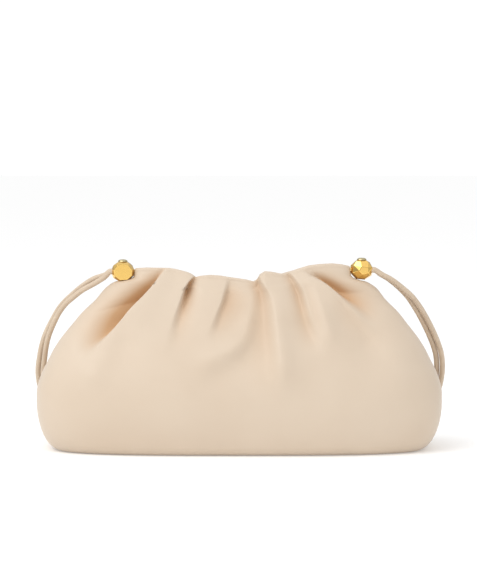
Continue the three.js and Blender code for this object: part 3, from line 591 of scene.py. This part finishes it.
# A copy of the skin with half the rows and columns is let go as cloth with a little air in it, and the
# fine skin takes the copy's movement, smoothed and capped.
def settled(grid):
    rows, columns = range(0, len(grid), 2), range(0, grid.shape[1], 2)
    coarse = grid[rows][:, columns]
    high, wide = coarse.shape[:2]
    quads = [(r * wide + c, r * wide + (c + 1) % wide, (r + 1) * wide + (c + 1) % wide, (r + 1) * wide + c)
             for r in range(high - 1) for c in range(wide)]
    skin_mesh = bpy.data.meshes.new("settling")
    skin_mesh.from_pydata(coarse.reshape(-1, 3).tolist(), [], quads)
    skin_copy = bpy.data.objects.new("settling", skin_mesh)
    bpy.context.scene.collection.objects.link(skin_copy)
    heights = np.array([(levels + lips)[r][3] for r in rows])
    hold = 1 - ease((heights - foot_held) / foot_fade) * ease((neck_held - heights) / neck_fade)
    held = skin_copy.vertex_groups.new(name="held")
    for r, weight in enumerate(hold):
        held.add(list(range(r * wide, (r + 1) * wide)), float(weight), "REPLACE")
    cloth = skin_copy.modifiers.new("settle", "CLOTH")
    leather, cache = cloth.settings, cloth.point_cache
    leather.quality = 6
    leather.mass = 0.35
    leather.air_damping = 2.0
    leather.tension_stiffness = 25
    leather.compression_stiffness = 25
    leather.shear_stiffness = 12
    leather.bending_stiffness = 6.0
    leather.bending_damping = 1.0
    leather.use_pressure = True
    leather.uniform_pressure_force = 1.6
    leather.vertex_group_mass = "held"
    leather.pin_stiffness = 1.0
    leather.shrink_min = -0.008
    leather.effector_weights.gravity = 0.3
    cloth.collision_settings.use_collision = False
    cache.frame_start, cache.frame_end = 1, settle_frames
    for step in range(1, settle_frames + 1):
        bpy.context.scene.frame_set(step)
    graph = bpy.context.evaluated_depsgraph_get()
    after = np.empty(high * wide * 3)
    skin_copy.evaluated_get(graph).data.vertices.foreach_get("co", after)
    bpy.data.objects.remove(skin_copy)
    bpy.data.meshes.remove(skin_mesh)
    bpy.context.scene.frame_set(1)
    moved = after.reshape(high, wide, 3) - coarse
    for _ in range(settle_smoothing):
        framed = np.pad(moved, ((1, 1), (0, 0), (0, 0)), mode="edge")
        moved = (framed[:-2] + 2 * moved + framed[2:]) / 4
        moved = (np.roll(moved, 1, axis=1) + 2 * moved + np.roll(moved, -1, axis=1)) / 4
    moved *= (1 - hold)[:, None, None]
    size = np.linalg.norm(moved, axis=2, keepdims=True)
    ends = np.abs(shares[::2])[None, :wide, None]
    most = settle_most * (1 - ends_held * ease((ends - ends_held_from) / (1 - ends_held_from)))
    moved *= most * np.tanh(size / most) / np.maximum(size, tiny)
    fine_rows = np.arange(len(grid)) / 2
    low = np.minimum(fine_rows.astype(int), high - 1)
    part = (fine_rows - low)[:, None, None]
    tall = moved[low] * (1 - part) + moved[np.minimum(low + 1, high - 1)] * part
    halfway = (tall + np.roll(tall, -1, axis=1)) / 2
    full = np.empty((len(grid), wide * 2, 3))
    full[:, 0::2], full[:, 1::2] = tall, halfway
    return full[:, :grid.shape[1]]


grid = np.array(outer)
movement = settled(grid)
print("settled by", round(float(np.linalg.norm(movement, axis=2).max() / mm), 2), "mm at most")
outer = list(grid + movement)
slit_foot = outer[-1] - (0, 0, lip_depth - lip_thickness / 2)

# The inside of the wall has fewer rings, which lie square to the pouch as it would be without its pleats.
# Each is pushed as far in as the deepest crease near it, so that no crease comes through the wall.
inner_step = 5
inner_base = (0.985, 0.96, 1)
plain = [ring_of(level, shares, sides, plain=True)[0] for level in levels + lips[:1]]
inner = []
for i in range(len(levels) - 1, 0, -inner_step):
    if levels[i][3] < mouth_height - lip_depth - wall:
        along = np.roll(plain[i], -1, axis=0) - np.roll(plain[i], 1, axis=0)
        up = plain[i + 1] - plain[i - 1]
        inwards = np.cross(up, along)
        inwards /= np.linalg.norm(inwards, axis=1)[:, None]
        near = range(max(0, i - inner_step), i + inner_step + 1)
        deeper = [((outer[k] - outer[i] - plain[k] + plain[i]) * inwards).sum(1) for k in near]
        inner.append(outer[i] + inwards * (wall + np.max(deeper, axis=0))[:, None])
inner.append(outer[0] * inner_base + (0, 0, wall))

# One closed skin: the outer rings up to the lips, the foot of the slit and the inner rings, with a fan of
# faces over the base outside and inside
rings = outer + [slit_foot] + inner
around = len(shares)
points = np.concatenate(rings + [np.array([[0, 0, 0], [0, 0, wall]])])
faces = []
last = (len(rings) - 1) * around
for i in range(around):
    j = (i + 1) % around
    faces.append((len(points) - 2, j, i))
    faces.append((len(points) - 1, last + i, last + j))
for r in range(len(rings) - 1):
    low, high = r * around, (r + 1) * around
    for i in range(around):
        j = (i + 1) % around
        faces.append((low + i, low + j, high + j, high + i))
pouch_mesh = bpy.data.meshes.new("pouch")
pouch_mesh.from_pydata(points.tolist(), [], faces)
pouch_mesh.shade_smooth()
# The tuck attribute holds the painted crease shade, which the leather's material multiplies into its dye
painted_shade_weight = pouch_mesh.attributes.new("tuck", "FLOAT", "POINT")
rest_of_points = len(points) - around * len(painted_crease_shades)
painted_shade_weight.data.foreach_set("value", np.pad(np.concatenate(painted_crease_shades), (0, rest_of_points)))
# In the creases the dye is multiplied by this warm dark tone: painted shade
pouch_leather = nappa("pouch_nappa", light=(0.665, 0.55, 0.43), dark=(0.63, 0.51, 0.39),
                      pore_size=0.9 * mm, cloud_size=60 * mm, shine=0.5, painted_crease_shade=(0.88, 0.66, 0.45))
pouch = new_object("pouch_skin", pouch_mesh, pouch_leather)
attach(pouch, "root")
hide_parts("pouch")


# The beads: cast brass nuggets, ground to flat facets and polished in yellow gold. Each sits beside the
# end of the lips, on a plain pin that can't be seen, and has a small flat on top for its stud.
def polished(name, colour, roughness, dull=0.86, haze=0.1):
    material, tree, shader = new_material(name)
    place = node(tree, "ShaderNodeTexCoord", (-900, 0))
    tarnish = node(tree, "ShaderNodeTexNoise", (-650, 100))
    tarnish.inputs["Scale"].default_value = 240.0
    tarnish.inputs["Detail"].default_value = 4.0
    tone = node(tree, "ShaderNodeValToRGB", (-400, 100))
    tone.color_ramp.elements[0].color = (*[c * dull for c in colour], 1)
    tone.color_ramp.elements[1].color = (*colour, 1)
    gloss = node(tree, "ShaderNodeMapRange", (-400, -150))
    gloss.inputs["To Min"].default_value = roughness
    gloss.inputs["To Max"].default_value = roughness + haze
    tree.links.new(place.outputs["Object"], tarnish.inputs["Vector"])
    tree.links.new(tarnish.outputs["Fac"], tone.inputs["Fac"])
    tree.links.new(tone.outputs["Color"], shader.inputs["Base Color"])
    tree.links.new(tarnish.outputs["Fac"], gloss.inputs["Value"])
    tree.links.new(gloss.outputs["Result"], shader.inputs["Roughness"])
    shader.inputs["Metallic"].default_value = 1.0
    return material


bead_gold = polished("bead_gold", colour=(0.93, 0.61, 0.18), roughness=0.08)
# Rings of corners from the front of each nugget to its back: depth, half width, half height and shift in
# mm, the angle of the first corner in degrees, and how many corners
nuggets = {
    "bead_left": (-1, [(-5.7, 6.0, 5.4, 0.4, 10, 9), (-2.2, 7.7, 6.6, 0, 18, 9), (2.4, 7.6, 6.6, 0, 0, 9),
                       (5.5, 4.2, 3.8, -0.4, 5, 7)]),
    "bead_right": (1, [(-5.8, 3.2, 2.7, 1.3, 40, 5), (-3.4, 6.5, 5.6, 0.3, 14, 8), (0.6, 7.7, 6.6, 0, 0, 9),
                       (5.5, 4.2, 3.8, 0.4, 5, 7)])}
# The corners stray from their rings a little, up to so many degrees and by this share of the ring's
# reach, in waves that take a step from each corner to the next
corner_stray = 6
stray_step = 7.3
corner_inset = 0.07
inset_step = 3.1
# The flat under the stud, in mm
seat_corners = [(-3.2, -2.4, 5.7), (3.2, -2.4, 5.7), (3.2, 2.4, 5.7), (-3.2, 2.4, 5.7)]
flat_within = math.radians(9)
edge_round = 0.22 * mm
for name, (end, nugget_rings) in nuggets.items():
    middle = bead_middle(end)
    shape = bmesh.new()
    for depth, half_width, half_height, shift, first, count in nugget_rings:
        for k in range(count):
            turn = math.radians(first + 360 * k / count + corner_stray * math.sin(stray_step * k + depth))
            reach = 1 - corner_inset * abs(math.sin(inset_step * k + depth))
            across = shift + half_width * reach * math.cos(turn)
            high = half_height * reach * math.sin(turn)
            shape.verts.new(middle + np.array([across, depth, high]) * mm)
    for corner in seat_corners:
        shape.verts.new(middle + np.array(corner) * mm)
    hull = bmesh.ops.convex_hull(shape, input=shape.verts)
    inside = [v for v in hull["geom_interior"] if isinstance(v, bmesh.types.BMVert)]
    bmesh.ops.delete(shape, geom=inside, context="VERTS")
    bmesh.ops.dissolve_limit(shape, angle_limit=flat_within, verts=shape.verts, edges=shape.edges)
    bmesh.ops.bevel(shape, geom=shape.edges, offset=edge_round, segments=2, affect="EDGES", profile=0.6)
    bmesh.ops.recalc_face_normals(shape, faces=shape.faces)
    nugget_mesh = bpy.data.meshes.new(name)
    shape.to_mesh(nugget_mesh)
    shape.free()
    nugget = new_object(name + "_nugget", nugget_mesh, bead_gold)
    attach(nugget, "root")
    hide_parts(name)
for name in ("pin_left", "pin_right"):
    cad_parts[name].data.materials.clear()
    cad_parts[name].data.materials.append(bead_gold)


# The studs: small domed pins turned from brass, coloured darker and rougher than the beads. One is
# pressed into the top of each bead, where it holds the strands.
stud_gold = polished("stud_gold", colour=(0.55, 0.47, 0.27), roughness=0.3)
for name in ("rivet_left", "rivet_right"):
    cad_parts[name].data.materials.clear()
    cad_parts[name].data.materials.append(stud_gold)


# The floor isn't part of the bag. It is a wide sheet of white card that carries on out of sight, and it
# glows a little, so that it comes out as bright as the room behind it.
floor_reach = 8
floor_mesh = bpy.data.meshes.new("floor")
floor_corners = [(x * floor_reach, y * floor_reach, 0) for x, y in ((-1, -1), (1, -1), (1, 1), (-1, 1))]
floor_mesh.from_pydata(floor_corners, [], [(0, 1, 2, 3)])
white_card, _, floor_shader = new_material("white_card")
floor_shader.inputs["Base Color"].default_value = (0.88, 0.88, 0.88, 1)
floor_shader.inputs["Roughness"].default_value = 0.9
floor_shader.inputs["Specular IOR Level"].default_value = 0.0
floor_shader.inputs["Emission Color"].default_value = (1, 1, 1, 1)
floor_shader.inputs["Emission Strength"].default_value = 0.18
floor = new_object("floor", floor_mesh, white_card)


# The light isn't part of the bag either. A white room is brightest overhead, a soft key light stands at
# the upper left in front, and a weak fill light at the right.
room = bpy.data.worlds.new("room")
room.use_nodes = True
room_nodes, room_links = room.node_tree.nodes, room.node_tree.links
heading = node(room.node_tree, "ShaderNodeTexCoord", (-800, 0))
upward = node(room.node_tree, "ShaderNodeSeparateXYZ", (-600, 0))
overhead = node(room.node_tree, "ShaderNodeMapRange", (-400, 0))
overhead.inputs["To Min"].default_value = 0.42
overhead.inputs["To Max"].default_value = 1.15
backdrop = node(room.node_tree, "ShaderNodeBackground", (0, 150))
backdrop.inputs["Color"].default_value = (1, 1, 1, 1)
backdrop.inputs["Strength"].default_value = 1.1
seen = node(room.node_tree, "ShaderNodeLightPath", (-200, 400))
either = node(room.node_tree, "ShaderNodeMixShader", (200, 0))
room_nodes["Background"].inputs["Color"].default_value = (1, 1, 1, 1)
room_links.new(heading.outputs["Generated"], upward.inputs["Vector"])
room_links.new(upward.outputs["Z"], overhead.inputs["Value"])
room_links.new(overhead.outputs["Result"], room_nodes["Background"].inputs["Strength"])
room_links.new(seen.outputs["Is Camera Ray"], either.inputs["Fac"])
room_links.new(room_nodes["Background"].outputs["Background"], either.inputs[1])
room_links.new(backdrop.outputs["Background"], either.inputs[2])
room_links.new(either.outputs["Shader"], room_nodes["World Output"].inputs["Surface"])
bpy.context.scene.world = room
lit_spot = Vector((0, 0, 0.06))
lamps = [("key", (-0.82, -0.78, 1.18), 1.1, 10.4), ("fill", (1.1, -1.2, 0.7), 0.9, 1.6)]
for name, place, size, power in lamps:
    lamp = bpy.data.lights.new(name, "AREA")
    lamp.size = size
    lamp.energy = power
    light = bpy.data.objects.new(name, lamp)
    light.location = place
    light.rotation_euler = (lit_spot - light.location).to_track_quat("-Z", "Y").to_euler()
    bpy.context.scene.collection.objects.link(light)
bpy.context.scene.view_settings.view_transform = "Standard"
